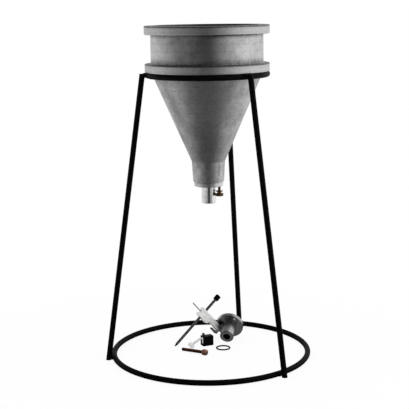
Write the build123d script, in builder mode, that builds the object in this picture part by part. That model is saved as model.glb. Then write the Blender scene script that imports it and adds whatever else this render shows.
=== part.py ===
from build123d import *
import os
from math import atan2, cos, degrees, hypot, radians, sin, sqrt, tan

# Grout flow cone: a cast funnel that hangs by its flange in a welded stand of round bar,
# with a flanged discharge nozzle screwed under it and its loose kit lying on the floor.
# Millimetres, +Z up. The origin is the centre of the base ring, on the floor.
# The front of the object faces -Y.

# Stand, welded from round bar
bar_diameter = 9.5
seat_height = 497.3
ring_casting_gap = 1.6
base_ring_radius = 171.0
leg_feet = {"leg_rear": 71.9, "leg_left": 189.8, "leg_right": 311.8}
leg_tops = {"leg_rear": 71.7, "leg_left": 190.5, "leg_right": 308.7}
leg_top_drop = 1.5
seat_gap = 0.1
weld_root_gap = 0.2
weld_bead_radius = 4.0
weld_bead_reach = 5.8

# Cone casting
mouth_diameter = 178.0
casting_wall = 6.35
cone_half_angle = 23.5
rim_overhang = 10.65
rim_height = 14.5
seat_flange_overhang = 10.45
seat_flange_height = 13.8
collar_height = 49.0
throat_length = 7.7
boss_draft = 3.2
boss_step = 1.7
casting_edge = 1.2
casting_root = 2.0

# Discharge nozzles: the fitted one and the spare have the same flange and the same outside
nozzle_length = 38.1
nozzle_flange_thickness = 8.0
nozzle_land = 3.6
fitted_bore = 19.05
fitted_tube_wall = 3.0
spare_bore = 12.7
throat_step = 0.5
tube_end_chamfer = 0.6
flange_edge_chamfer = 0.8
flange_edge_metal = 2.2

# Seal ring, the fitted one squeezed flat in its groove
seal_cord = 2.6
seal_land = 0.175
seal_squeeze = 0.3
seal_flat_width = 0.4
seal_side_room = 0.15

# Thumb screw under the nozzle flange and its washer
thread_diameter = 5.0
thread_fit = 0.05
thread_clearance = 0.3
thread_engaged = 12.0
thread_end_room = 0.5
thread_tip_chamfer = 0.6
screw_azimuth = -26.0
screw_stand_off = 8.1
screw_head_diameter = 14.0
screw_head_height = 4.6
screw_neck_height = 3.2
screw_neck_diameter = 7.0
screw_tube_gap = 0.5
washer_diameter = 12.6
washer_thickness = 1.2
knurl_count = 28
knurl_depth = 0.45

# Loose thumb screw lying on the floor
loose_thread_diameter = 6.0
loose_shank_length = 44.7
loose_head_diameter = 10.6
loose_head_height = 8.6
loose_head_dome = 2.2
loose_screw_tip = (-50.8, 12.7)
loose_screw_azimuth = -35.0

# Loose seal ring lying on the floor
loose_seal_place = (22.2, 22.5)

# Spare nozzle lying on its flange edge and spout
spare_nozzle_place = (35.2, 82.8)
spare_nozzle_azimuth = -102.4
spare_hole_turn = 123.4

# Point gauge: its rod stands on its point and its arm leans on the spare nozzle's flange
gauge_tip_side = -65.0
gauge_azimuth = 33.2
gauge_rise = 39.0
gauge_roll = -10.0
gauge_lean_along = 33.0
gauge_lean_gap = 0.3
gauge_rod_diameter = 5.0
gauge_rod_length = 119.6
gauge_rod_reach = 79.4
gauge_point_length = 6.0
gauge_point_flat = 0.8
gauge_fit = 0.05
gauge_knob_diameter = 10.0
gauge_knob_length = 9.6
gauge_knob_knurls = 20
bracket_thickness = 8.0
bracket_above = 8.2
bracket_head_length = 25.4
bracket_head_end = 7.2
bracket_head_below = 8.5
bracket_head_corner = 3.0
bracket_ear = 2.4
bracket_ear_width = 5.0
bracket_arm_length = 45.4
bracket_lip_below = 8.0
bracket_lip_thickness = 2.7
bracket_lip_length = 14.5
bracket_slot_width = 3.2
bracket_slot_root = 3.0
bracket_corner = 0.8
lock_screw_diameter = 2.2
lock_screw_length = 26.6
lock_screw_offset = 0.3
lock_screw_gap = 0.4
lock_screw_chamfer = 0.3

# Clamp block of the gauge, its stud and pad, and the wing screw that leans on it
block_place = (-13.2, 33.9)
block_azimuth = 25.0
block_width = 20.5
block_depth = 13.0
block_height = 18.0
block_edge = 0.9
stud_diameter = 5.0
stud_height = 4.6
stud_depth = 4.0
stud_inset = 8.5
stud_pad_wall = 0.4
pad_width = 2.6
pad_height = 11.0
pad_thickness = 2.0
pad_proud = 0.8
pad_inset = 1.4
pad_top_drop = 1.4
wing_thread_diameter = 4.2
wing_thread_fit = 0.1
wing_hole_depth = 9.0
wing_shank_length = 20.0
wing_hub_diameter = 6.6
wing_hub_start = 2.5
wing_hub_length = 6.0
wing_span = 12.0
wing_length = 8.5
wing_thickness = 2.4
wing_corner = 2.4
wing_azimuth = 35.0
wing_rise = 23.0
wing_turn = 40.0
wing_lean_gap = 0.3


def level_direction(azimuth):
    """Unit vector along the floor, its azimuth counted from +X towards +Y."""
    return Vector(cos(radians(azimuth)), sin(radians(azimuth)), 0)


def tilted_direction(azimuth, rise):
    """Unit vector that climbs from the floor by the angle rise."""
    return level_direction(azimuth) * cos(radians(rise)) + Vector(0, 0, sin(radians(rise)))


def axial_plane(origin, direction):
    """Sketch plane through an axis: its Y runs along the axis and its X is the radius."""
    axis = direction.normalized()
    side = Plane(origin=origin, z_dir=axis).x_dir
    return Plane(origin=origin, x_dir=side, z_dir=side.cross(axis))


def turned_section(plane, outline):
    """Closed section of (radius, height) points on an axial plane, ready to be revolved."""
    with BuildSketch(plane) as section:
        with BuildLine():
            Polyline(*outline, close=True)
        make_face()
    return section.sketch


def axis_of(plane):
    """The axis that an axial plane was made for."""
    return Axis(plane.origin, plane.y_dir)


def knurl_grooves(end_plane, radius, count):
    """Sections of the straight knurling round a head that stands on end_plane."""
    with BuildSketch(end_plane) as grooves:
        with PolarLocations(radius, count):
            Circle(knurl_depth)
    return grooves.sketch


# Heights and radii that several pieces share
quarter_turn = 90.0
bar_radius = bar_diameter / 2
top_ring_height = seat_height - seat_gap - bar_radius
base_ring_height = bar_radius
mouth_radius = mouth_diameter / 2
casting_radius = mouth_radius + casting_wall
top_ring_radius = casting_radius + ring_casting_gap + bar_radius
bore_radius = fitted_bore / 2
tube_radius = bore_radius + fitted_tube_wall
throat_radius = bore_radius + throat_step
cone_slope = tan(radians(cone_half_angle))
cone_cos = cos(radians(cone_half_angle))
shoulder_height = seat_height + casting_wall * (1 / cone_cos - 1) / cone_slope
throat_height = shoulder_height - (mouth_radius - throat_radius) / cone_slope
flange_top = seat_height + seat_flange_height
rim_bottom = flange_top + collar_height
rim_top = rim_bottom + rim_height
boss_bottom = throat_height - throat_length
nozzle_top = boss_bottom
flange_bottom = nozzle_top - nozzle_flange_thickness
thread_radius = thread_diameter / 2
screw_hole_radius = thread_radius + thread_clearance
thread_hole_depth = thread_engaged + screw_stand_off + thread_end_room
screw_head_radius = screw_head_diameter / 2
screw_circle = tube_radius + screw_tube_gap + screw_head_radius
nozzle_flange_radius = screw_circle + screw_hole_radius + flange_edge_metal
boss_radius = nozzle_flange_radius + boss_step

# Rings of the stand


def round_bar_ring(ring_radius, centre_height):
    """A closed level ring of round bar."""
    with BuildPart() as ring:
        with BuildSketch(Plane.XZ):
            with Locations((ring_radius, centre_height)):
                Circle(bar_radius)
        revolve(axis=Axis.Z)
    return ring


top_ring = round_bar_ring(top_ring_radius, top_ring_height)
base_ring = round_bar_ring(base_ring_radius, base_ring_height)

# Legs: straight bars against the outside of both rings, cut level at foot and top. Each foot
# and top is welded on where leg_feet and leg_tops place it round the rings
leg_run = base_ring_radius - top_ring_radius
leg_rise = top_ring_height - base_ring_height
leg_rake = degrees(atan2(leg_run, leg_rise))
leg_out = cos(radians(leg_rake))
leg_up = sin(radians(leg_rake))
leg_offset = bar_diameter + weld_root_gap


def beside_ring(ring_radius, ring_height, azimuth, distance):
    """Point outside the bar of a ring, square to the legs, that far from the middle of the bar."""
    outwards = level_direction(azimuth) * (ring_radius + distance * leg_out)
    return outwards + Vector(0, 0, ring_height + distance * leg_up)


def leg_bar(foot_azimuth, top_azimuth):
    """One leg, through the points where its middle passes both rings."""
    foot = beside_ring(base_ring_radius, base_ring_height, foot_azimuth, leg_offset)
    top = beside_ring(top_ring_radius, top_ring_height, top_azimuth, leg_offset)
    with BuildPart() as leg:
        with BuildSketch(Plane(origin=foot, z_dir=top - foot)):
            Circle(bar_radius)
        extrude(amount=seat_height, both=True)
        split(bisect_by=Plane.XY, keep=Keep.TOP)
        split(bisect_by=Plane.XY.offset(seat_height - leg_top_drop), keep=Keep.BOTTOM)
    return leg


legs = {name: leg_bar(leg_feet[name], leg_tops[name]) for name in leg_feet}

# Weld beads: one on each side of every leg where it crosses a ring


def weld_bead(touch, along, ring, leg):
    """One bead beside the crossing of two bars, trimmed to both."""
    with BuildPart() as bead:
        with Locations(Plane(origin=touch + along, x_dir=along)):
            Sphere(weld_bead_radius)
        add(ring.part, mode=Mode.SUBTRACT)
        add(leg.part, mode=Mode.SUBTRACT)
    return bead.part


def weld_beads(ring, ring_radius, ring_height, azimuths):
    """All the beads of one ring."""
    beads_of_ring = []
    for name, azimuth in azimuths.items():
        touch = beside_ring(ring_radius, ring_height, azimuth, leg_offset / 2)
        along = level_direction(azimuth + quarter_turn) * weld_bead_reach
        beads_of_ring.append(weld_bead(touch, along, ring, legs[name]))
        beads_of_ring.append(weld_bead(touch, -along, ring, legs[name]))
    with BuildPart() as beads:
        add(beads_of_ring)
    return beads


top_weld_beads = weld_beads(top_ring, top_ring_radius, top_ring_height, leg_tops)
base_weld_beads = weld_beads(base_ring, base_ring_radius, base_ring_height, leg_feet)

# Cone casting: rim, collar, seat flange, cone and boss in one piece
boss_slope = tan(radians(boss_draft))
boss_rise = casting_radius - boss_radius - (seat_height - boss_bottom) * cone_slope
boss_height = boss_rise / (boss_slope - cone_slope)
boss_top_radius = boss_radius + boss_height * boss_slope
rim_radius = casting_radius + rim_overhang
seat_flange_radius = casting_radius + seat_flange_overhang
casting_outline = [
    (throat_radius, boss_bottom),
    (boss_radius, boss_bottom),
    (boss_top_radius, boss_bottom + boss_height),
    (casting_radius, seat_height),
    (seat_flange_radius, seat_height),
    (seat_flange_radius, flange_top),
    (casting_radius, flange_top),
    (casting_radius, rim_bottom),
    (rim_radius, rim_bottom),
    (rim_radius, rim_top),
    (mouth_radius, rim_top),
    (mouth_radius, shoulder_height),
    (throat_radius, throat_height),
]
with BuildPart() as cone_casting:
    with BuildSketch(Plane.XZ) as casting_section:
        with BuildLine():
            Polyline(*casting_outline, close=True)
        make_face()
        corners = casting_section.vertices()
        fillet(corners.filter_by(lambda v: v.X > casting_radius + casting_edge), casting_edge)
        corners = casting_section.vertices()
        roots = corners.filter_by(lambda v: abs(v.X - casting_radius) < casting_edge / 2)
        fillet(roots.filter_by(lambda v: v.Y > seat_height + casting_edge), casting_root)
    revolve(axis=Axis.Z)
    with BuildSketch(Plane.XY.offset(boss_bottom)):
        with PolarLocations(screw_circle, 2, start_angle=screw_azimuth):
            Circle(thread_radius + thread_fit)
    extrude(amount=thread_hole_depth, mode=Mode.SUBTRACT)

# Nozzle flanges: a disc with a land at the top, the tube's socket below it, a seal groove
# and two screw holes
groove_depth = seal_cord - seal_squeeze
groove_width = seal_cord + seal_squeeze + 2 * seal_side_room
groove_inside = throat_radius + seal_land
groove_outside = groove_inside + groove_width
seal_middle_radius = (groove_inside + groove_outside) / 2


def nozzle_flange_disc(seat_plane, land_radius, inlet_radius, hole_turn):
    """A nozzle flange that hangs under seat_plane, where it meets the boss."""
    shoulder_radius = nozzle_flange_radius - flange_edge_chamfer
    outline = [
        (inlet_radius, 0),
        (groove_inside, 0),
        (groove_inside, -groove_depth),
        (groove_outside, -groove_depth),
        (groove_outside, 0),
        (shoulder_radius, 0),
        (nozzle_flange_radius, -flange_edge_chamfer),
        (nozzle_flange_radius, flange_edge_chamfer - nozzle_flange_thickness),
        (shoulder_radius, -nozzle_flange_thickness),
        (tube_radius, -nozzle_flange_thickness),
        (tube_radius, -nozzle_land),
        (land_radius, -nozzle_land),
    ]
    section_plane = axial_plane(seat_plane.origin, seat_plane.z_dir)
    with BuildPart() as disc:
        revolve(turned_section(section_plane, outline), axis=axis_of(section_plane))
        with BuildSketch(seat_plane):
            with PolarLocations(screw_circle, 2, start_angle=hole_turn):
                Circle(screw_hole_radius)
        extrude(amount=-nozzle_flange_thickness, mode=Mode.SUBTRACT)
    return disc


def spout_tube(seat_plane, inside_radius):
    """A discharge tube pressed into the socket of the flange under seat_plane."""
    outline = [
        (inside_radius, -nozzle_land),
        (tube_radius, -nozzle_land),
        (tube_radius, tube_end_chamfer - nozzle_length),
        (tube_radius - tube_end_chamfer, -nozzle_length),
        (inside_radius + tube_end_chamfer, -nozzle_length),
        (inside_radius, tube_end_chamfer - nozzle_length),
    ]
    section_plane = axial_plane(seat_plane.origin, seat_plane.z_dir)
    with BuildPart() as tube:
        revolve(turned_section(section_plane, outline), axis=axis_of(section_plane))
    return tube


fitted_plane = Plane.XY.offset(nozzle_top)
nozzle_flange = nozzle_flange_disc(fitted_plane, bore_radius, bore_radius, screw_azimuth)
discharge_tube = spout_tube(fitted_plane, bore_radius)

# Seal ring squeezed between the nozzle flange and the boss
with BuildPart() as nozzle_seal_ring:
    with BuildSketch(Plane.XZ):
        with Locations((seal_middle_radius, nozzle_top - groove_depth / 2)):
            RectangleRounded(
                seal_cord + seal_squeeze, groove_depth, (groove_depth - seal_flat_width) / 2
            )
    revolve(axis=Axis.Z)

# Thumb screw, head down, and the washer that rides up and down on its neck
screw_place = level_direction(screw_azimuth) * screw_circle
washer_top = flange_bottom - screw_stand_off
washer_bottom = washer_top - washer_thickness
neck_bottom = washer_bottom - screw_neck_height
head_bottom = neck_bottom - screw_head_height
screw_tip = nozzle_top + thread_engaged
screw_plane = axial_plane(screw_place, Vector(0, 0, 1))
screw_outline = [
    (0, head_bottom),
    (screw_head_radius - knurl_depth, head_bottom),
    (screw_head_radius, head_bottom + knurl_depth),
    (screw_head_radius, neck_bottom - knurl_depth),
    (screw_head_radius - knurl_depth, neck_bottom),
    (screw_neck_diameter / 2, neck_bottom),
    (screw_neck_diameter / 2, washer_bottom),
    (thread_radius, washer_bottom),
    (thread_radius, screw_tip - thread_tip_chamfer),
    (thread_radius - thread_tip_chamfer, screw_tip),
    (0, screw_tip),
]
head_plane = Plane(origin=screw_place + Vector(0, 0, head_bottom))
head_grooves = knurl_grooves(head_plane, screw_head_radius, knurl_count)
with BuildPart() as thumb_screw:
    revolve(turned_section(screw_plane, screw_outline), axis=axis_of(screw_plane))
    extrude(head_grooves, amount=screw_head_height, mode=Mode.SUBTRACT)
washer_outline = [
    (thread_radius + thread_fit, washer_bottom),
    (washer_diameter / 2, washer_bottom),
    (washer_diameter / 2, washer_top),
    (thread_radius + thread_fit, washer_top),
]
with BuildPart() as thumb_screw_washer:
    revolve(turned_section(screw_plane, washer_outline), axis=axis_of(screw_plane))

# Loose thumb screw: it lies on the tip of its thread and the rim of its head
loose_thread_radius = loose_thread_diameter / 2
loose_head_radius = loose_head_diameter / 2
loose_rim = loose_shank_length + loose_head_height - loose_head_dome
loose_span = loose_shank_length - thread_tip_chamfer
loose_rise = degrees(atan2(loose_head_radius - loose_thread_radius, loose_span))
loose_axis = tilted_direction(loose_screw_azimuth, loose_rise)
loose_thread_height = loose_thread_radius * cos(radians(loose_rise))
loose_tip_height = loose_thread_height - thread_tip_chamfer * sin(radians(loose_rise))
loose_tip = Vector(*loose_screw_tip, loose_tip_height)
loose_outline = [
    (0, 0),
    (loose_thread_radius - thread_tip_chamfer, 0),
    (loose_thread_radius, thread_tip_chamfer),
    (loose_thread_radius, loose_shank_length),
    (loose_head_radius, loose_shank_length),
    (loose_head_radius, loose_rim),
    (loose_head_radius - loose_head_dome, loose_rim + loose_head_dome),
    (0, loose_rim + loose_head_dome),
]
loose_plane = axial_plane(loose_tip, loose_axis)
loose_head_plane = Plane(origin=loose_tip + loose_axis * loose_shank_length, z_dir=loose_axis)
loose_grooves = knurl_grooves(loose_head_plane, loose_head_radius, knurl_count)
with BuildPart() as spare_thumb_screw:
    revolve(turned_section(loose_plane, loose_outline), axis=axis_of(loose_plane))
    extrude(loose_grooves, amount=loose_head_height, mode=Mode.SUBTRACT)

# Loose seal ring
with BuildPart() as spare_seal_ring:
    with BuildSketch(Plane.XZ.offset(-loose_seal_place[1])):
        with Locations((loose_seal_place[0] + seal_middle_radius, seal_cord / 2)):
            Circle(seal_cord / 2)
    revolve(axis=Axis(Vector(*loose_seal_place, 0), Vector(0, 0, 1)))

# Spare nozzle: it lies on the lower edge of its flange and the lip of its spout
spare_bore_radius = spare_bore / 2
spout_length = nozzle_length - nozzle_flange_thickness
spare_span = spout_length - tube_end_chamfer + flange_edge_chamfer
spare_droop = degrees(atan2(nozzle_flange_radius - tube_radius, spare_span))
spare_axis = tilted_direction(spare_nozzle_azimuth, -spare_droop)
spare_rim_height = nozzle_flange_radius * cos(radians(spare_droop))
spare_face_height = spare_rim_height - flange_edge_chamfer * sin(radians(spare_droop))
spare_face = Vector(*spare_nozzle_place, spare_face_height)
spare_seat = spare_face - spare_axis * nozzle_flange_thickness
spare_side = level_direction(spare_nozzle_azimuth + quarter_turn)
spare_plane = Plane(origin=spare_seat, x_dir=spare_side, z_dir=-spare_axis)
spare_nozzle_flange = nozzle_flange_disc(
    spare_plane, spare_bore_radius, bore_radius, spare_hole_turn
)
spare_discharge_tube = spout_tube(spare_plane, spare_bore_radius)

# Point gauge: the bracket's directions, and the place where its upper edge meets the flange
rod_axis = tilted_direction(gauge_azimuth, gauge_rise)
down_axis = tilted_direction(gauge_azimuth, gauge_rise - quarter_turn)
cross_axis = level_direction(gauge_azimuth + quarter_turn)
arm_axis = down_axis * cos(radians(gauge_roll)) + cross_axis * sin(radians(gauge_roll))
face_axis = arm_axis.cross(rod_axis)
lean_edge = rod_axis * (gauge_rod_reach + bracket_above) - face_axis * (bracket_thickness / 2)
gauge_tip_height = gauge_point_flat * cos(radians(gauge_rise))
lean_start = Vector(gauge_tip_side, 0, gauge_tip_height) + lean_edge - spare_face


def lean_depth(along):
    """Depth of the rod's tip at which that point of the upper edge just clears the flange."""
    return (gauge_lean_gap - (lean_start + arm_axis * along).dot(spare_axis)) / spare_axis.Y


gauge_tip_depth = min(lean_depth(gauge_lean_along), lean_depth(bracket_arm_length))
rod_radius = gauge_rod_diameter / 2
rod_tip = Vector(gauge_tip_side, gauge_tip_depth, gauge_tip_height)
rod_crossing = rod_tip + rod_axis * gauge_rod_reach
bracket_plane = Plane(origin=rod_crossing, x_dir=arm_axis, z_dir=face_axis)
knob_start = gauge_rod_length - gauge_knob_length / 2
rod_plane = axial_plane(rod_tip, rod_axis)
rod_outline = [
    (0, 0),
    (gauge_point_flat, 0),
    (rod_radius, gauge_point_length),
    (rod_radius, gauge_rod_length),
    (0, gauge_rod_length),
]
with BuildPart() as gauge_rod:
    revolve(turned_section(rod_plane, rod_outline), axis=axis_of(rod_plane))
knob_plane = Plane(origin=rod_tip + rod_axis * knob_start, z_dir=rod_axis)
knob_grooves = knurl_grooves(knob_plane, gauge_knob_diameter / 2, gauge_knob_knurls)
with BuildPart() as gauge_knob:
    with BuildSketch(knob_plane):
        Circle(gauge_knob_diameter / 2)
    extrude(amount=gauge_knob_length)
    chamfer(gauge_knob.edges().filter_by(GeomType.CIRCLE), knurl_depth)
    extrude(knob_grooves, amount=gauge_knob_length, mode=Mode.SUBTRACT)
    with BuildSketch(knob_plane):
        Circle(rod_radius)
    extrude(amount=gauge_rod_length - knob_start, mode=Mode.SUBTRACT)

# Bracket of the gauge: head with two ears, and an arm that ends in a slotted foot
ear_end = -bracket_head_end - bracket_ear
head_stop = bracket_head_length - bracket_head_end
lip_open = bracket_arm_length - bracket_lip_length
slot_stop = bracket_arm_length - bracket_slot_root
lip_inside = bracket_lip_thickness - bracket_lip_below
arm_below = lip_inside + bracket_slot_width
bracket_outline = [
    (ear_end, bracket_above),
    (bracket_arm_length, bracket_above),
    (bracket_arm_length, -bracket_lip_below),
    (lip_open, -bracket_lip_below),
    (lip_open, lip_inside),
    (slot_stop, lip_inside),
    (slot_stop, arm_below),
    (head_stop, arm_below),
    (head_stop, bracket_head_corner - bracket_head_below),
    (head_stop - bracket_head_corner, -bracket_head_below),
    (ear_end, -bracket_head_below),
    (ear_end, bracket_ear_width - bracket_head_below),
    (-bracket_head_end, bracket_ear_width - bracket_head_below),
    (-bracket_head_end, bracket_above - bracket_ear_width),
    (ear_end, bracket_above - bracket_ear_width),
]
lock_inner_end = rod_radius + lock_screw_gap
lock_radius = lock_screw_diameter / 2
lock_start = rod_crossing + rod_axis * lock_screw_offset - arm_axis * lock_inner_end
with BuildPart() as gauge_bracket:
    with BuildSketch(bracket_plane) as bracket_face:
        with BuildLine():
            Polyline(*bracket_outline, close=True)
        make_face()
        fillet(bracket_face.vertices(), bracket_corner)
    extrude(amount=bracket_thickness / 2, both=True)
    with BuildSketch(Plane(origin=rod_crossing, z_dir=rod_axis)):
        Circle(rod_radius + gauge_fit)
    extrude(amount=bracket_above + bracket_head_below, both=True, mode=Mode.SUBTRACT)
    with BuildSketch(Plane(origin=lock_start + arm_axis * lock_inner_end, z_dir=-arm_axis)):
        Circle(lock_radius + gauge_fit)
    extrude(amount=bracket_head_end + bracket_ear, mode=Mode.SUBTRACT)
with BuildPart() as gauge_lock_screw:
    with BuildSketch(Plane(origin=lock_start, z_dir=-arm_axis)):
        Circle(lock_radius)
    extrude(amount=lock_screw_length)
    chamfer(gauge_lock_screw.edges().filter_by(GeomType.CIRCLE), lock_screw_chamfer)

# Clamp block with the stud on its top and the pad in its side
block_corner = Vector(*block_place, 0)
block_along = level_direction(block_azimuth)
block_back = level_direction(block_azimuth + quarter_turn)
block_plane = Plane(origin=block_corner, x_dir=block_along, z_dir=(0, 0, 1))
side_plane = Plane(origin=block_corner, x_dir=block_back, z_dir=block_along)
stud_top = block_height + stud_height
stud_foot = block_height - stud_depth
pad_depth = pad_thickness - pad_proud
pad_middle = (pad_inset + pad_width / 2, block_height - pad_top_drop - pad_height / 2)
stud_place = (pad_depth + stud_pad_wall + stud_diameter / 2, stud_inset)
wing_radius = wing_thread_diameter / 2
with BuildPart() as clamp_block:
    with BuildSketch(block_plane):
        Rectangle(block_width, block_depth, align=(Align.MIN, Align.MIN))
    extrude(amount=block_height)
    fillet(clamp_block.edges(), block_edge)
    with BuildSketch(block_plane.offset(stud_foot)):
        with Locations(stud_place):
            Circle(stud_diameter / 2)
    extrude(amount=stud_depth, mode=Mode.SUBTRACT)
    with BuildSketch(side_plane):
        with Locations(pad_middle):
            Rectangle(pad_width, pad_height)
    extrude(amount=pad_depth, mode=Mode.SUBTRACT)
    with BuildSketch(side_plane):
        with Locations((block_depth / 2, block_height / 2)):
            Circle(wing_radius + wing_thread_fit)
    extrude(amount=wing_hole_depth, mode=Mode.SUBTRACT)
with BuildPart() as clamp_stud:
    with BuildSketch(block_plane.offset(stud_foot)):
        with Locations(stud_place):
            Circle(stud_diameter / 2)
    extrude(amount=stud_top - stud_foot)
    fillet(clamp_stud.faces().sort_by(Axis.Z)[-1].edges(), block_edge)
with BuildPart() as clamp_pad:
    with BuildSketch(side_plane.offset(-pad_proud)):
        with Locations(pad_middle):
            Rectangle(pad_width, pad_height)
    extrude(amount=pad_thickness)

# Wing screw: it stands on one wing and its tip leans on the side of the clamp block
wing_hub_radius = wing_hub_diameter / 2
wing_middle = wing_span / 4
wing_shank_start = wing_hub_start + wing_hub_length
wing_tip_end = wing_shank_start + wing_shank_length
wing_axis = tilted_direction(wing_azimuth, wing_rise)
wing_level = level_direction(wing_azimuth + quarter_turn)
wing_lift = wing_axis.cross(wing_level)
wing_side = wing_level * cos(radians(wing_turn)) + wing_lift * sin(radians(wing_turn))
wing_face = wing_side.cross(wing_axis)
wing_corner_drop = wing_corner * (hypot(wing_axis.Z, wing_side.Z) - wing_axis.Z)
wing_end_height = (wing_span / 2 - wing_corner) * wing_side.Z + wing_corner_drop
wing_end_height += wing_thickness / 2 * abs(wing_face.Z)
wing_tip_height = wing_end_height + wing_tip_end * wing_axis.Z
wing_edge_reach = wing_radius * sqrt(1 - wing_axis.dot(block_along) ** 2)
wing_tip_place = block_back * (block_depth / 2) - block_along * (wing_lean_gap + wing_edge_reach)
wing_tip = block_corner + wing_tip_place + Vector(0, 0, wing_tip_height)
wing_end = wing_tip - wing_axis * wing_tip_end
wing_plane = Plane(origin=wing_end, x_dir=wing_side, z_dir=wing_face)
wing_outline = [
    (0, wing_hub_start),
    (wing_hub_radius, wing_hub_start),
    (wing_hub_radius, wing_shank_start),
    (wing_radius, wing_shank_start),
    (wing_radius, wing_tip_end),
    (0, wing_tip_end),
]
with BuildPart() as wing_screw:
    revolve(turned_section(wing_plane, wing_outline), axis=axis_of(wing_plane))
    with BuildSketch(wing_plane):
        with Locations((-wing_middle, wing_length / 2), (wing_middle, wing_length / 2)):
            RectangleRounded(wing_span / 2, wing_length, wing_corner)
    extrude(amount=wing_thickness / 2, both=True)

pieces = {
    "top_ring": top_ring,
    "base_ring": base_ring,
    **legs,
    "top_weld_beads": top_weld_beads,
    "base_weld_beads": base_weld_beads,
    "cone_casting": cone_casting,
    "nozzle_flange": nozzle_flange,
    "discharge_tube": discharge_tube,
    "nozzle_seal_ring": nozzle_seal_ring,
    "thumb_screw": thumb_screw,
    "thumb_screw_washer": thumb_screw_washer,
    "spare_thumb_screw": spare_thumb_screw,
    "spare_seal_ring": spare_seal_ring,
    "spare_nozzle_flange": spare_nozzle_flange,
    "spare_discharge_tube": spare_discharge_tube,
    "gauge_bracket": gauge_bracket,
    "gauge_rod": gauge_rod,
    "gauge_knob": gauge_knob,
    "gauge_lock_screw": gauge_lock_screw,
    "clamp_block": clamp_block,
    "clamp_stud": clamp_stud,
    "clamp_pad": clamp_pad,
    "wing_screw": wing_screw,
}
os.makedirs("parts", exist_ok=True)
for name, piece in pieces.items():
    piece.part.label = name
    export_step(piece.part, f"parts/{name}.step")
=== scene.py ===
from math import cos, pi, radians, sin, tan, tau

import bmesh
import bpy
from bpy.props import FloatProperty, FloatVectorProperty, IntProperty, PointerProperty
from mathutils import Matrix, Vector


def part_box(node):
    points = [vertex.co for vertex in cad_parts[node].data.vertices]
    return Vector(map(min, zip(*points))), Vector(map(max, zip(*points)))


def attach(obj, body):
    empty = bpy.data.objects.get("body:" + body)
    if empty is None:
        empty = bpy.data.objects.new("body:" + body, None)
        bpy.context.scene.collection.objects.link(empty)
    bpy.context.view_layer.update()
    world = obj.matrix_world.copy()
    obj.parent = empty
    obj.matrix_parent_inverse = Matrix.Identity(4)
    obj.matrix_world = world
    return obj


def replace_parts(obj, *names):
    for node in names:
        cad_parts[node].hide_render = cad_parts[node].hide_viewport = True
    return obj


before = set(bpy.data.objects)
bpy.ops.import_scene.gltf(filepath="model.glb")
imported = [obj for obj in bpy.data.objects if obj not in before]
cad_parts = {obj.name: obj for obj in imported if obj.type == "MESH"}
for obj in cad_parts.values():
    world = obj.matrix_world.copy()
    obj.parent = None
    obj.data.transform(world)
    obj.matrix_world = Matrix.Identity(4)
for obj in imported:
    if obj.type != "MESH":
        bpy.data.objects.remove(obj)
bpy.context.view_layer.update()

bl_info = {
    "name": "Grout flow cone",
    "version": (1, 0, 0),
    "blender": (4, 5, 0),
    "location": "3D View > Sidebar > Flow cone",
    "description": "Gives a grout flow cone, its stand and its loose kit their finishes and fine shapes",
    "category": "Object",
}

up = Vector((0, 0, 1))
camera_side = radians(-90)


def level_way(azimuth):
    """Level direction, its azimuth counted from +X."""
    return Vector((cos(azimuth), sin(azimuth), 0))


# Sizes and colours that a user would change


def colour(name, description, default):
    """A colour property."""
    return FloatVectorProperty(
        name=name, description=description, default=default, subtype="COLOR", size=3, min=0, max=1
    )


def length(name, description, default):
    """A length property in metres."""
    return FloatProperty(
        name=name, description=description, default=default, subtype="DISTANCE", unit="LENGTH", min=0
    )


def share(name, description, default):
    """A property between nothing and all."""
    return FloatProperty(
        name=name, description=description, default=default, subtype="FACTOR", min=0, max=1
    )


def place(name, description, default):
    """A position property in metres."""
    return FloatVectorProperty(
        name=name, description=description, default=default, subtype="TRANSLATION", unit="LENGTH", size=3
    )


def direction(name, description, default):
    """A direction property."""
    return FloatVectorProperty(
        name=name, description=description, default=default, subtype="DIRECTION", size=3
    )


def angle(name, description, default):
    """An angle property, its default in degrees."""
    return FloatProperty(
        name=name, description=description, default=radians(default), subtype="ANGLE", unit="ROTATION"
    )


def angles(name, description, default):
    """Three angles, their defaults in degrees."""
    return FloatVectorProperty(
        name=name, description=description, default=[radians(turn) for turn in default],
        subtype="EULER", unit="ROTATION", size=3,
    )


class StandLook(bpy.types.PropertyGroup):
    """Paint and welds of the stand."""

    paint_colour: colour("Paint", "Colour of the black paint", (0.0006, 0.0006, 0.0007))
    worn_colour: colour("Worn paint", "Colour where the paint is scuffed", (0.006, 0.006, 0.0062))
    paint_roughness: share("Paint roughness", "Roughness of the clean paint", 0.45)
    peel_grain: length("Orange peel", "Size of the ripples in the paint", 0.0013)
    feet: angles("Feet", "Directions of the legs' feet, counted from +X", (71.9, 189.8, 311.8))
    tops: angles("Tops", "Directions of the legs' tops, counted from +X", (71.7, 190.5, 308.7))
    bead_radius: length("Bead", "Radius of a weld bead", 0.004)
    bead_reach: length("Bead distance", "From the middle of a leg to the middle of a bead", 0.0058)
    bead_ripple: length("Bead ripple", "Depth of the ripples on a weld bead", 0.00022)
    bead_ripples: IntProperty(
        name="Ripples", description="Ripples along one weld bead", default=7, min=2, max=20
    )


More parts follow.
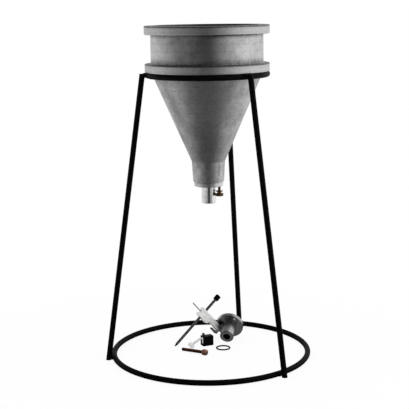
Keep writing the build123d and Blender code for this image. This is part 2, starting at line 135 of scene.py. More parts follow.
class CastingLook(bpy.types.PropertyGroup):
    """Cast and turned faces of the cone."""

    metal_colour: colour("Metal", "Colour of the clean aluminium", (0.66, 0.66, 0.665))
    stain_colour: colour("Stain", "Colour of the duller patches", (0.37, 0.37, 0.375))
    cast_roughness: share("Cast roughness", "Roughness of the cast skin", 0.44)
    turned_roughness: share("Turned roughness", "Roughness of the turned faces", 0.42)
    cast_grain: length("Cast grain", "Size of the grains in the cast skin", 0.0009)
    turning_pitch: length("Turning marks", "Distance between the turning marks", 0.0011)
    mottle_size: length("Mottling", "Size of the duller patches", 0.026)
    rim_height: length("Rim height", "Height of the rim", 0.0145)
    collar_height: length("Collar height", "From the seat flange to the rim", 0.049)
    shoulder_drop: length("Shoulder", "From the seat flange's top down to the cone's start inside", 0.0125)
    half_angle: angle("Half angle", "Angle between the cone and its axis", 23.5)
    mouth_radius: length("Mouth radius", "Radius of the mouth inside", 0.089)
    edge_radius: length("Edge radius", "Radius past which the rim and the seat flange are turned", 0.099)
    mark_start: length("Mark start", "From the boss's face up to the casting mark", 0.0127)
    mark_stop: length("Mark stop", "From the boss's face up to the end of the casting mark", 0.0307)
    stain_start: length("Stain start", "From the boss's face up to the stained end of the cone", 0.0387)
    stain_stop: length("Stain stop", "From the boss's face up to the end of the stain", 0.0787)
    # Painted shade: this colour darkens the collar's corners, the rim's top edge and the mouth inside, and
    # it also colours the casting mark.
    shade_and_mark_colour: colour("Grime", "Colour of the grime in corners and on upper faces", (0.12, 0.12, 0.121))
    shade_reach: length("Grime reach", "How far grime climbs from the seat flange", 0.014)
    mark_azimuth: angle("Casting mark", "Direction of the mark on the boss, counted from +X", -50)
    # Painted shade: a darker patch on the collar's left front.
    shade_patch_azimuth: angle("Smear", "Direction of the dull smear on the collar, counted from +X", -110)


class NozzleLook(bpy.types.PropertyGroup):
    """Flange, tube and seal of both nozzles."""

    flange_colour: colour("Flange", "Colour of the turned flange", (0.76, 0.76, 0.765))
    tube_colour: colour("Tube", "Colour of the polished tube", (0.87, 0.865, 0.87))
    spare_colour: colour("Spare flange", "Colour of the spare nozzle's flange", (0.56, 0.56, 0.564))
    spout_colour: colour("Spare spout", "Colour of the spare nozzle's spout", (0.56, 0.56, 0.565))
    flange_radius: length("Flange radius", "Where the flat of a flange meets its edge", 0.0242)
    spare_bore: length("Spare bore", "Radius of the spare nozzle's bore", 0.0064)
    rubber_colour: colour("Seal", "Colour of the rubber rings", (0.004, 0.004, 0.004))
    turning_pitch: length("Turning marks", "Distance between the turning marks", 0.0004)
    spare_seat: place(
        "Spare seat", "Middle of the spare nozzle's seat face", (0.0367881, 0.0900229, 0.0258796)
    )
    spare_axis: direction(
        "Spare axis", "The way the spare nozzle's spout points", (-0.1985, -0.9029, -0.3814)
    )
    # Painted shadow of the gauge's arm on the spare nozzle's flange.
    arm_shadow: place(
        "Smudge", "Where the gauge has rubbed on the spare nozzle's flange", (0.0206, 0.0829, 0.0303)
    )


class ScrewLook(bpy.types.PropertyGroup):
    """The fitted thumb screw with its washer and the loose thumb screw."""

    brass_colour: colour("Brass", "Colour of the bright brass", (0.36, 0.23, 0.11))
    tarnish_colour: colour("Tarnish", "Colour of the tarnished brass", (0.075, 0.05, 0.032))
    copper_colour: colour("Copper", "Colour of the loose screw", (0.56, 0.31, 0.205))
    copper_dark: colour("Dark copper", "Colour of the loose screw's stained parts", (0.085, 0.015, 0.01))
    thread_radius: length("Thread radius", "Radius of the thread's crests", 0.0025)
    thread_pitch: length("Thread pitch", "Rise of the thread in one turn", 0.0008)
    thread_depth: length("Thread depth", "From the crests to the roots", 0.00046)
    tip_chamfer: length("Tip chamfer", "Chamfer at the end of a thread", 0.0006)
    knurls: IntProperty(name="Knurls", description="Ridges round a head", default=28, min=8, max=60)
    knurl_depth: length("Knurl depth", "Depth of the grooves round a head", 0.00045)
    screw_place: place(
        "Fitted screw", "Middle of the fitted screw's head, from below", (0.017998, -0.008778, 0.284191)
    )
    head_radius: length("Head radius", "Radius of the fitted screw's head", 0.007)
    head_height: length("Head height", "Height of the fitted screw's head", 0.0046)
    neck_radius: length("Neck radius", "Radius of the fitted screw's neck", 0.0035)
    neck_height: length("Neck height", "Height of the fitted screw's neck", 0.0032)
    screw_length: length("Screw length", "Length of the fitted screw with its head", 0.0371)
    loose_tip: place("Loose tip", "Tip of the loose screw", (-0.0508, 0.0127, 0.0029647))
    loose_axis: direction(
        "Loose axis", "From the loose screw's tip to its head", (0.81804, -0.57280, 0.05208)
    )
    loose_radius: length("Loose thread radius", "Radius of the loose screw's crests", 0.003)
    loose_pitch: length("Loose thread pitch", "Rise of the loose screw's thread in one turn", 0.001)
    loose_shank: length("Loose shank", "Length of the loose screw under its head", 0.0447)
    loose_head_radius: length("Loose head radius", "Radius of the loose screw's head", 0.0053)
    loose_head_height: length("Loose head height", "Height of the loose screw's head", 0.0086)
    loose_head_dome: length("Loose head dome", "Rounding of the loose screw's head", 0.0022)


class GaugeLook(bpy.types.PropertyGroup):
    """Bracket, rod, knob and lock screw of the point gauge."""

    bracket_colour: colour("Bracket", "Colour of the pale bracket", (0.86, 0.86, 0.85))
    rod_colour: colour("Rod", "Colour of the dark rod", (0.2, 0.2, 0.203))
    pin_colour: colour("Lock screw", "Colour of the lock screw", (0.62, 0.62, 0.62))
    knob_colour: colour("Knob", "Colour of the black knob", (0.0006, 0.0006, 0.0006))
    foot_colour: colour("Foot", "Colour of the bracket's dark foot", (0.08, 0.08, 0.08))
    crossing: place("Crossing", "Where the rod passes the bracket", (-0.0133671, 0.0714055, 0.0505898))
    arm_axis: direction("Arm axis", "The way the bracket's arm points", (0.6137, 0.1941, -0.7653))
    lip_start: length("Lip start", "From the rod to the start of the foot's lip", 0.0309)
    lip_inside: length("Lip inside", "From the rod's crossing down to the foot's lip", 0.0053)
    foot_end: length("Foot end", "From the rod to the closed end of the foot's slot", 0.0424)
    edge_radius: length("Edges", "Width of the broken edges of the bracket", 0.0003)
    tip: place("Rod tip", "Point of the rod", (-0.065, 0.0376179, 0.0006217))
    rod_axis: direction("Rod axis", "From the rod's point to its knob", (0.6503, 0.4255, 0.6293))


class ClampLook(bpy.types.PropertyGroup):
    """Clamp block and white wing screw."""

    block_colour: colour("Block", "Colour of the black block", (0.0006, 0.0006, 0.0006))
    nylon_colour: colour("Nylon", "Colour of the white plastic", (0.76, 0.755, 0.757))
    stud_colour: colour("Stud", "Colour of the stud", (0.02, 0.02, 0.02))
    wing_end: place("Wing end", "Outer end of the wing screw", (-0.0385123, 0.0242421, 0.0037402))
    wing_axis: direction("Wing axis", "From the wings to the screw's tip", (0.754, 0.528, 0.3907))
    wing_side: direction("Wing side", "From one wing to the other", (-0.6451, 0.4834, 0.5917))
    thread_radius: length("Thread radius", "Radius of the thread's crests", 0.0021)
    thread_pitch: length("Thread pitch", "Rise of the thread in one turn", 0.0007)
    thread_depth: length("Thread depth", "From the crests to the roots", 0.0004)
    hub_radius: length("Hub radius", "Radius of the hub between the wings", 0.0033)
    hub_start: length("Hub start", "From the wings' end to the hub", 0.0025)
    shank_start: length("Shank start", "From the wings' end to the thread", 0.0085)
    full_length: length("Full length", "From the wings' end to the tip", 0.0285)
    wing_span: length("Wing span", "Across both wings", 0.012)
    wing_length: length("Wing length", "Length of the wings along the screw", 0.0085)
    wing_thickness: length("Wing thickness", "Thickness of the wings", 0.0024)


class StageLook(bpy.types.PropertyGroup):
    """Camera, floor and studio light."""

    camera_place: place("Camera", "Where the camera stands", (-0.0078, -1.86046, 0.61265))
    camera_pitch: angle("Pitch", "How far the camera looks down", 10.503)
    camera_roll: angle("Roll", "How far the camera leans", 0.8)
    lens: FloatProperty(
        name="Lens", description="Focal length", default=96.11, min=10, subtype="DISTANCE_CAMERA"
    )
    floor_colour: colour("Floor", "Colour of the pale floor", (0.9, 0.9, 0.9))
    shadow_share: share("Shadow", "How much of the floor's own light shows near the object", 0.09)
    dark_tone: share("Dark side", "Brightness of the studio's dark side", 0.07)
    ceiling_tone: share("Ceiling", "Brightness of the studio overhead", 0.3)
    dark_azimuth: angle("Dark side's direction", "Where the studio is dark, counted from the camera", -20)
    floor_azimuth: angle("Dark floor's direction", "Where the floor is dark, counted from the camera", -6)
    strip_azimuth: angle("Strip's direction", "Where the far floor has a strip, counted from the camera", 2)
    dark_inner: angle("Dark core", "Half width of the darkest part", 26)
    dark_outer: angle("Dark edge", "Half width of the whole dark side", 92)
    floor_inner: angle("Dark floor", "Half width of the floor's darkest part", 18)
    floor_outer: angle("Floor's edge", "Half width of the floor's dark part", 96)
    strip_inner: angle("Dark strip", "Half width of the far floor's darkest part", 4)
    strip_outer: angle("Strip edge", "Half width of the far floor's dark strip", 30)
    ambient: share("Ambient", "Strength of the studio's soft light", 1.0)
    key_power: FloatProperty(
        name="Key light", description="Power of the large soft lamp", default=8, min=0, unit="POWER"
    )
    key_place: place("Key place", "Where the large soft lamp stands", (1.3, -1.5, 1.9))
    key_target: place("Key target", "What the large soft lamp points at", (0, 0, 0.2))
    key_size: length("Key size", "Side of the large soft lamp", 1.6)
    floor_size: length("Floor size", "From the middle of the floor to its sides", 6)
    floor_drop: length("Floor drop", "From the object's underside down to the floor", 0.0001)


# Shader nodes


class Signal:
    """An output socket of a node: arithmetic on it adds Math nodes to its sheet."""

    def __init__(self, sheet, socket):
        self.sheet = sheet
        self.socket = socket

    def math(self, operation, first, second):
        """One Math node on two values."""
        return self.sheet.node("ShaderNodeMath", {"operation": operation}, {0: first, 1: second})

    def __add__(self, other):
        return self.math("ADD", self, other)

    def __radd__(self, other):
        return self.math("ADD", other, self)

    def __sub__(self, other):
        return self.math("SUBTRACT", self, other)

    def __rsub__(self, other):
        return self.math("SUBTRACT", other, self)

    def __mul__(self, other):
        return self.math("MULTIPLY", self, other)

    def __rmul__(self, other):
        return self.math("MULTIPLY", other, self)

    def __or__(self, other):
        return self.math("MAXIMUM", self, other)


class NodeSheet:
    """The node tree of one finish or of the world."""

    def __init__(self, tree):
        self.tree = tree
        tree.nodes.clear()

    def node(self, kind, settings=None, sockets=None, output=0):
        """Adds a node, sets it up, fills or links its sockets, and gives one of its outputs."""
        made = self.tree.nodes.new(kind)
        for name, value in (settings or {}).items():
            setattr(made, name, value)
        for key, value in (sockets or {}).items():
            if isinstance(value, Signal):
                self.tree.links.new(value.socket, made.inputs[key])
            else:
                made.inputs[key].default_value = value
        return Signal(self, made.outputs[output]) if made.outputs else None

    def position(self):
        """Place on the object in metres."""
        return self.node("ShaderNodeTexCoord", output="Object")

    def vector(self, operation, first, second=None, output="Vector"):
        """One Vector Math node on one or two vectors."""
        sockets = {0: first} if second is None else {0: first, 1: second}
        return self.node("ShaderNodeVectorMath", {"operation": operation}, sockets, output)

    def dot(self, first, second):
        """How far one vector reaches along another."""
        return self.vector("DOT_PRODUCT", first, second, "Value")

    def ray(self, kind):
        """1 for light rays of that kind."""
        return self.node("ShaderNodeLightPath", output=f"Is {kind} Ray")

    def height(self, position):
        """Height above the floor."""
        return self.node("ShaderNodeSeparateXYZ", sockets={0: position}, output="Z")

    def radius(self, position):
        """Distance from the vertical axis of the cone."""
        return self.vector("LENGTH", self.vector("MULTIPLY", position, (1, 1, 0)), output="Value")

    def bearing(self, position):
        """Level direction away from the vertical axis of the cone."""
        return self.vector("NORMALIZE", self.vector("MULTIPLY", position, (1, 1, 0)))

    def axis_distance(self, position, origin, axis):
        """Distance from the axis of a turned piece."""
        around = self.vector("CROSS_PRODUCT", self.vector("SUBTRACT", position, origin), axis)
        return self.vector("LENGTH", around, output="Value")

    def turned_path(self, position, origin, axis):
        """Way along a turned piece: it grows along its sides and outwards on its end faces."""
        along = self.dot(self.vector("SUBTRACT", position, origin), axis)
        return along + self.axis_distance(position, origin, axis)

    def cloud(self, position, grain, detail=2.0, rough=0.5):
        """Noise with patches of about that size."""
        return self.node(
            "ShaderNodeTexNoise",
            sockets={"Vector": position, "Scale": 1 / grain, "Detail": detail, "Roughness": rough},
        )

    def lines(self, path, pitch, detail=2.0):
        """Noise that changes along one value only."""
        return self.node(
            "ShaderNodeTexNoise",
            {"noise_dimensions": "1D"},
            {"W": path, "Scale": 1 / pitch, "Detail": detail},
        )

    def rise(self, value, start, stop):
        """0 before start and 1 after stop, smooth between them."""
        return self.node(
            "ShaderNodeMapRange",
            {"interpolation_type": "SMOOTHSTEP"},
            {"Value": value, "From Min": start, "From Max": stop},
        )

    def between(self, value, start, stop, soft):
        """1 from start to stop, with soft ends."""
        return self.rise(value, start - soft, start) * (1 - self.rise(value, stop, stop + soft))

    def tint(self, mask, first, second):
        """The first colour where the mask is 0 and the second where it is 1."""
        return self.node(
            "ShaderNodeMix",
            {"data_type": "RGBA"},
            {0: mask, 6: as_colour(first), 7: as_colour(second)},
            2,
        )

    def bump(self, height, distance, strength=1.0):
        """Normal of a surface raised by that height."""
        return self.node(
            "ShaderNodeBump", sockets={"Height": height, "Distance": distance, "Strength": strength}
        )

    def surface(self, **sockets):
        """The finish's shader, whose sockets are named in small letters."""
        names = {name.replace("_", " ").title(): value for name, value in sockets.items()}
        names = {name.replace("Ior", "IOR"): value for name, value in names.items()}
        shader = self.node("ShaderNodeBsdfPrincipled", sockets=names)
        self.node("ShaderNodeOutputMaterial", sockets={"Surface": shader})


def as_colour(value):
    """A colour or link that a colour socket takes."""
    return value if isinstance(value, Signal) else (*value, 1.0)


def scaled(tint, factor):
    """A colour made darker or lighter."""
    return [factor * part for part in tint]


def new_finish(name):
    """A new material and the sheet of its nodes."""
    material = bpy.data.materials.new(name)
    material.use_nodes = True
    return material, NodeSheet(material.node_tree)


def dress(material, *nodes):
    """Gives CAD nodes their finish."""
    for name in nodes:
        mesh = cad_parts[name].data
        mesh.materials.clear()
        mesh.materials.append(material)


# Finishes


def black_paint(look):
    """Baked black paint with orange peel and a few scuffs."""
    material, sheet = new_finish("stand_paint")
    where = sheet.position()
    scuffs = sheet.rise(sheet.cloud(where, 0.006, 6.0, 0.65), 0.66, 0.74)
    dust = sheet.cloud(where, 0.03, 3.0)
    peel = sheet.cloud(where, look.peel_grain, 1.0) + 0.6 * scuffs
    sheet.surface(
        base_color=sheet.tint(scuffs * 0.5 + dust * 0.2, look.paint_colour, look.worn_colour),
        roughness=look.paint_roughness + 0.14 * dust + 0.15 * scuffs,
        specular_ior_level=0.06,
        normal=sheet.bump(peel, 0.00012),
    )
    return material


def casting_heights(look):
    """Heights of the rim's top and bottom, the seat flange's top and the boss's face."""
    low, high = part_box("cone_casting")
    rim_bottom = high.z - look.rim_height
    return high.z, rim_bottom, rim_bottom - look.collar_height, low.z


def casting_shade_and_mark(sheet, look, where, flecks):
    """Painted shade where the collar meets the seat flange, under the rim and inside the mouth, a darker
    band along the rim's top edge, and the dark casting mark on the boss.
    """
    rim_top, rim_bottom, flange_top, boss_face = casting_heights(look)
    height = sheet.height(where)
    radius = sheet.radius(where)
    # Painted shade up the collar from the seat flange and under the rim, and a darker band along the rim's
    # top edge.
    climb = 1 - sheet.rise(height, flange_top, flange_top + look.shade_reach)
    on_flange = climb * sheet.rise(height, flange_top - 0.0022, flange_top - 0.0012)
    to_rim = sheet.rise(height, rim_bottom - 0.0075, rim_bottom)
    under_rim = to_rim * (1 - sheet.rise(height, rim_bottom, rim_bottom + 0.001))
    on_rim = sheet.rise(height, rim_top - 0.0032, rim_top - 0.002)
    # Painted shade inside the mouth, deeper towards the rim's top.
    slant = radius - tan(look.half_angle) * (height - flange_top + look.shoulder_drop)
    wall = look.mouth_radius
    inside = 1 - sheet.rise(radius | slant, wall + 0.0005, wall + 0.0015)
    inside = inside * (0.4 + 0.6 * sheet.rise(height, rim_top - 0.03, rim_top - 0.005))
    beside_mark = sheet.dot(sheet.bearing(where), level_way(look.mark_azimuth))
    mark = sheet.rise(beside_mark, cos(radians(2.6)), cos(radians(1.4)))
    mark = mark * sheet.between(height, boss_face + look.mark_start, boss_face + look.mark_stop, 0.002)
    return (on_flange | under_rim | on_rim | inside) * (0.7 + 0.25 * flecks) | mark * 0.8


def casting_skin(look):
    """Aluminium: turned on the rim, the seat flange and the boss's face, cast and brushed elsewhere."""
    flange_top, boss_face = casting_heights(look)[2:]
    material, sheet = new_finish("cast_aluminium")
    where = sheet.position()
    height = sheet.height(where)
    radius = sheet.radius(where)
    edges = sheet.rise(radius, look.edge_radius - 0.0015, look.edge_radius)
    turned = edges | (1 - sheet.rise(height, boss_face + 0.0001, boss_face + 0.0004))
    collar = sheet.rise(height, flange_top - 0.004, flange_top)
    stain = sheet.between(height, boss_face + look.stain_start, boss_face + look.stain_stop, 0.02)
    patches = sheet.rise(sheet.cloud(where, look.mottle_size, 5.0, 0.62), 0.34, 0.66)
    flecks = sheet.rise(sheet.cloud(where, 0.0048, 4.0, 0.6), 0.34, 0.66)
    drips = sheet.vector("MULTIPLY", where, (1.0, 1.0, 0.12))
    streaks = sheet.rise(sheet.cloud(drips, 0.009, 3.0), 0.35, 0.65)
    path = height + radius
    marks = sheet.lines(path, look.turning_pitch, 3.0)
    bands = sheet.rise(sheet.lines(path, 0.0046, 3.0), 0.34, 0.66)
    grain = sheet.cloud(where, look.cast_grain, 3.0, 0.6)
    pits = sheet.rise(sheet.cloud(where, 0.0024, 2.0), 0.68, 0.76)
    dents = sheet.vector("MULTIPLY", where, (1.0, 1.0, 2.2))
    dents = sheet.rise(sheet.cloud(dents, 0.0085, 2.0), 0.64, 0.72)
    dull_cone = patches * 0.45 + flecks * 0.22 + bands * 0.12 + pits * 0.7 + dents * 0.75 + streaks * 0.1
    dull_cone = dull_cone + stain * 0.3
    dull_collar = patches * 0.34 + flecks * 0.24 + bands * 0.2 + pits * 0.4 + dents * 0.25 + streaks * 0.08
    dull_cast = dull_cone * (1 - collar) + dull_collar * collar
    dull_turned = patches * 0.12 + flecks * 0.16 + bands * 0.16 + marks * 0.16 + dents * 0.5 + pits * 0.4
    dull = dull_cast * (1 - turned) + dull_turned * turned
    # Painted shade: a darker patch on the collar's left front, broken up by the mottling.
    beside_shade_patch = sheet.dot(sheet.bearing(where), level_way(look.shade_patch_azimuth))
    shade_patch = sheet.rise(beside_shade_patch, cos(radians(28)), cos(radians(6))) * collar * (1 - turned)
    shade_and_mark = casting_shade_and_mark(sheet, look, where, flecks) | shade_patch * (0.28 + 0.24 * patches)
    metal = sheet.tint(dull, look.metal_colour, look.stain_colour)
    rough_cast = look.cast_roughness - 0.09 + 0.12 * patches + 0.06 * flecks - 0.1 * collar
    rough_turned = look.turned_roughness - 0.06 + 0.12 * marks
    relief_cast = grain * 0.5 + bands * 0.15 + marks * 0.2 + flecks * 0.35 - pits * 0.6
    relief_turned = marks * 0.8 + bands * 0.3
    # Painted shade and the casting mark darken the metal here.
    sheet.surface(
        base_color=sheet.tint(shade_and_mark, metal, look.shade_and_mark_colour),
        metallic=1.0,
        roughness=rough_cast * (1 - turned) + rough_turned * turned,
        normal=sheet.bump(relief_cast * (1 - turned) + relief_turned * turned, 0.00016),
    )
    return material


def turned_metal(name, origin, axis, base, stain, roughness, pitch, relief, bore=0, rim=0, arm_shadow=None):
    """Metal with turning marks round an axis, with painted shade in its bore or a painted shadow at one
    spot, duller past its rim.
    """
    # Near black used for painted shade and painted shadow.
    painted_shade_colour = (0.02, 0.02, 0.02)
    material, sheet = new_finish(name)
    where = sheet.position()
    path = sheet.turned_path(where, origin, axis)
    marks = sheet.lines(path, pitch, 3.0)
    bands = sheet.lines(path, pitch * 9, 2.0)
    patches = sheet.cloud(where, 0.006, 4.0, 0.6)
    dull = sheet.rise(patches * 0.6 + bands * 0.4, 0.38, 0.66)
    colour_link = sheet.tint(dull, base, stain)
    spread = sheet.axis_distance(where, origin, axis)
    if rim:
        past_rim = sheet.rise(spread, rim - 0.0004, rim)
        colour_link = sheet.tint(past_rim, colour_link, scaled(base, 0.76))
    # Painted shade inside the bore.
    if bore:
        bore_shade = 1 - sheet.rise(spread, bore, bore + 0.0004)
        colour_link = sheet.tint(bore_shade, colour_link, painted_shade_colour)
    # Painted shadow at one spot, where the gauge's arm shades the spare flange.
    if arm_shadow:
        away = sheet.rise(sheet.vector("DISTANCE", where, arm_shadow, "Value"), 0.0025, 0.007)
        colour_link = sheet.tint(0.85 * (1 - away), colour_link, painted_shade_colour)
    sheet.surface(
        base_color=colour_link,
        metallic=1.0,
        roughness=roughness - 0.05 + 0.1 * marks + 0.1 * dull,
        normal=sheet.bump(marks * 0.7 + bands * 0.4, relief),
    )
    return material


def tarnished_metal(name, bright, dark, roughness, low, high, foot=None, axis=None):
    """Brass or copper with dark tarnish in patches, and less of it past the foot of a head."""
    material, sheet = new_finish(name)
    where = sheet.position()
    patches = sheet.cloud(where, 0.0035, 5.0, 0.65)
    specks = sheet.cloud(where, 0.0006, 3.0)
    tarnish = sheet.rise(patches * 0.75 + specks * 0.25, low, high)
    if foot:
        along = sheet.dot(sheet.vector("SUBTRACT", where, foot), axis)
        head = sheet.rise(along, -0.0003, 0.0003)
        tarnish = tarnish * 0.18 * head + (0.72 + 0.28 * tarnish) * (1 - head)
    sheet.surface(
        base_color=sheet.tint(tarnish, bright, dark),
        metallic=1.0,
        roughness=roughness + 0.22 * tarnish + 0.05 * specks,
        normal=sheet.bump(specks * 0.5 + patches * 0.3, 0.00004),
    )
    return material


def seal_rubber(look):
    """Black rubber with a faint bloom."""
    material, sheet = new_finish("seal_rubber")
    where = sheet.position()
    bloom = sheet.cloud(where, 0.003, 4.0, 0.6)
    grain = sheet.cloud(where, 0.0003, 2.0)
    lighter = scaled(look.rubber_colour, 2.2)
    sheet.surface(
        base_color=sheet.tint(sheet.rise(bloom, 0.5, 0.75), look.rubber_colour, lighter),
        roughness=0.5 + 0.2 * bloom,
        specular_ior_level=0.2,
        normal=sheet.bump(grain, 0.00003),
    )
    return material


def pale_aluminium(look):
    """Bead-blasted pale aluminium with handling marks, a dark foot, and painted shade along the arm towards
    its end.
    """
    material, sheet = new_finish("gauge_aluminium")
    where = sheet.position()
    grain = sheet.cloud(where, 0.00025, 2.0)
    smears = sheet.cloud(where, 0.005, 5.0, 0.6)
    duller = scaled(look.bracket_colour, 0.8)
    pale = sheet.tint(sheet.rise(smears, 0.42, 0.72), look.bracket_colour, duller)
    offset = sheet.vector("SUBTRACT", where, look.crossing)
    along = sheet.dot(offset, look.arm_axis)
    beside = sheet.dot(offset, look.rod_axis)
    below = 1 - sheet.rise(beside, -look.lip_inside - 0.0001, 0.0003 - look.lip_inside)
    lip = below * sheet.rise(along, look.lip_start - 0.0005, look.lip_start)
    foot = lip | sheet.rise(along, look.foot_end, look.foot_end + 0.0008)
    # Painted shade: the arm darkens towards its end, most along one edge and at the tip.
    arm_shade = sheet.rise(along, 0.2 * look.foot_end, 0.7 * look.foot_end)
    shadowed = sheet.rise(along, 0.62 * look.foot_end, 0.9 * look.foot_end)
    shadowed = shadowed * sheet.rise(beside, -0.001, 0.004)
    end_shade = sheet.rise(along, 0.82 * look.foot_end, look.foot_end)
    painted_shade = 0.22 * arm_shade + 0.6 * shadowed + 0.35 * end_shade
    sheet.surface(
        base_color=sheet.tint(foot | painted_shade, pale, look.foot_colour),
        metallic=0.2,
        roughness=0.42 + 0.16 * smears,
        normal=sheet.bump(grain, 0.00003),
    )
    return material


def moulded_black(name, base, grain_size, roughness):
    """Black plastic with a fine moulded grain and polished wear."""
    material, sheet = new_finish(name)
    where = sheet.position()
    grain = sheet.cloud(where, grain_size, 2.0)
    wear = sheet.rise(sheet.cloud(where, 0.004, 5.0, 0.6), 0.5, 0.72)
    sheet.surface(
        base_color=sheet.tint(wear, base, scaled(base, 2.5)),
        roughness=roughness + 0.12 * grain - 0.1 * wear,
        specular_ior_level=0.1,
        normal=sheet.bump(grain, 0.00005),
    )
    return material


def white_nylon(look):
    """White plastic, a little yellowed where it was handled."""
    material, sheet = new_finish("nylon_white")
    where = sheet.position()
    grain = sheet.cloud(where, 0.0004, 2.0)
    handled = sheet.rise(sheet.cloud(where, 0.004, 4.0, 0.6), 0.45, 0.75)
    soiled = [part * fade for part, fade in zip(look.nylon_colour, (0.94, 0.93, 0.9))]
    sheet.surface(
        base_color=sheet.tint(handled, look.nylon_colour, soiled),
        roughness=0.4 + 0.15 * handled,
        normal=sheet.bump(grain, 0.00003),
    )
    return material


# Shapes

crease_angle = radians(38)


def axis_frame(origin, axis, side=None):
    """Frame whose Z runs along an axis, and whose X is the side if one is given."""
    along = Vector(axis).normalized()
    across = Vector(side) if side else along.orthogonal()
    across = (across - along * across.dot(along)).normalized()
    turn = Matrix((across, along.cross(across), along)).transposed().to_4x4()
    return Matrix.Translation(Vector(origin)) @ turn


def add_turned(bm, placing, rows, segments):
    """A closed turned body. Each row is a radius, a height and what is cut off the radius there."""
    rings = []
    for radius, height, cut in rows:
        ring = []
        for step in range(segments):
            turn = tau * step / segments
            reach = radius - (cut(turn, height) if cut else 0)
            ring.append(bm.verts.new(placing @ Vector((reach * cos(turn), reach * sin(turn), height))))
        rings.append(ring)
    for lower, upper in zip(rings, rings[1:]):
        for step in range(segments):
            after = (step + 1) % segments
            bm.faces.new((lower[step], lower[after], upper[after], upper[step]))
    bm.faces.new(reversed(rings[0]))
    bm.faces.new(rings[-1])


def thread_rows(start, stop, radius, pitch, depth, chamfer):
    """Rows of a right-hand thread from a head at start to a chamfered tip at stop."""
    samples = 8
    crest = 1 / samples

    def groove(turn, height):
        wave = abs(((height / pitch - turn / tau) % 1) * 2 - 1)
        flank = min(max((wave - crest) / (1 - 2 * crest), 0), 1)
        run_out = min(abs(height - start) / pitch, 1)
        return depth * flank * run_out

    def cut_within(limit):
        return lambda turn, height: min(groove(turn, height), depth + limit - radius)

    way = 1 if stop > start else -1
    steps = int(abs(stop - start) / pitch * samples)
    rows = []
    for step in range(steps + 1):
        height = start + way * step * pitch / samples
        left = abs(stop - height)
        limit = radius - max(chamfer - left, 0)
        rows.append((limit, height, cut_within(limit)))
    rows.append((radius - chamfer, stop, None))
    return rows if way > 0 else rows[::-1]


def knurl(count, depth):
    """What straight knurling takes off a head."""
    return lambda turn, height: depth * (0.5 - 0.5 * cos(count * turn))


def new_piece(name, bm, material, body, slot, *nodes):
    """Makes an object of a mesh, in the place of CAD nodes, and lets it ride on their body."""
    mesh = bpy.data.meshes.new(name)
    bmesh.ops.recalc_face_normals(bm, faces=bm.faces)
    bm.to_mesh(mesh)
    bm.free()
    mesh.shade_smooth()
    mesh.set_sharp_from_angle(angle=crease_angle)
    mesh.materials.append(material)
    piece = bpy.data.objects.new(name, mesh)
    bpy.context.scene.collection.objects.link(piece)
    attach(piece, body)
    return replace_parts(piece, *nodes)


def softened(node, width):
    """Copy of a CAD node's mesh with its sharp edges broken."""
    bm = bmesh.new()
    bm.from_mesh(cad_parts[node].data)
    bmesh.ops.remove_doubles(bm, verts=bm.verts, dist=0.000001)
    bmesh.ops.dissolve_limit(bm, angle_limit=radians(0.5), verts=bm.verts, edges=bm.edges)
    sharp = [edge for edge in bm.edges if edge.is_manifold and edge.calc_face_angle() > crease_angle]
    bmesh.ops.bevel(
        bm, geom=sharp, offset=width, segments=2, profile=0.6, affect="EDGES", clamp_overlap=True
    )
    return bm


def add_plate(bm, placing, outline, thickness, edge):
    """A flat plate with rounded edges, its outline counted from the placing's X and Z."""
    plate = bmesh.new()
    half = thickness / 2
    near = [plate.verts.new(Vector((x, -half, z))) for x, z in outline]
    far = [plate.verts.new(Vector((x, half, z))) for x, z in outline]
    plate.faces.new(near)
    plate.faces.new(reversed(far))
    count = len(outline)
    for step in range(count):
        after = (step + 1) % count
        plate.faces.new((near[after], near[step], far[step], far[after]))
    rims = [line for line in plate.edges if abs(line.verts[0].co.y - line.verts[1].co.y) < half]
    bmesh.ops.bevel(plate, geom=rims, offset=edge, segments=3, profile=0.5, affect="EDGES")
    plate.transform(placing)
    mesh = bpy.data.meshes.new("plate")
    plate.to_mesh(mesh)
    plate.free()
    bm.from_mesh(mesh)
    bpy.data.meshes.remove(mesh)


def rounded_outline(left, right, low, high, corner, steps=6):
    """Outline of a rectangle with round corners."""
    middles = ((right - corner, low + corner, -90), (right - corner, high - corner, 0),
               (left + corner, high - corner, 90), (left + corner, low + corner, 180))
    points = []
    for x, z, start in middles:
        for step in range(steps + 1):
            turn = radians(start + 90 * step / steps)
            points.append((x + corner * cos(turn), z + corner * sin(turn)))
    return points


# Operators


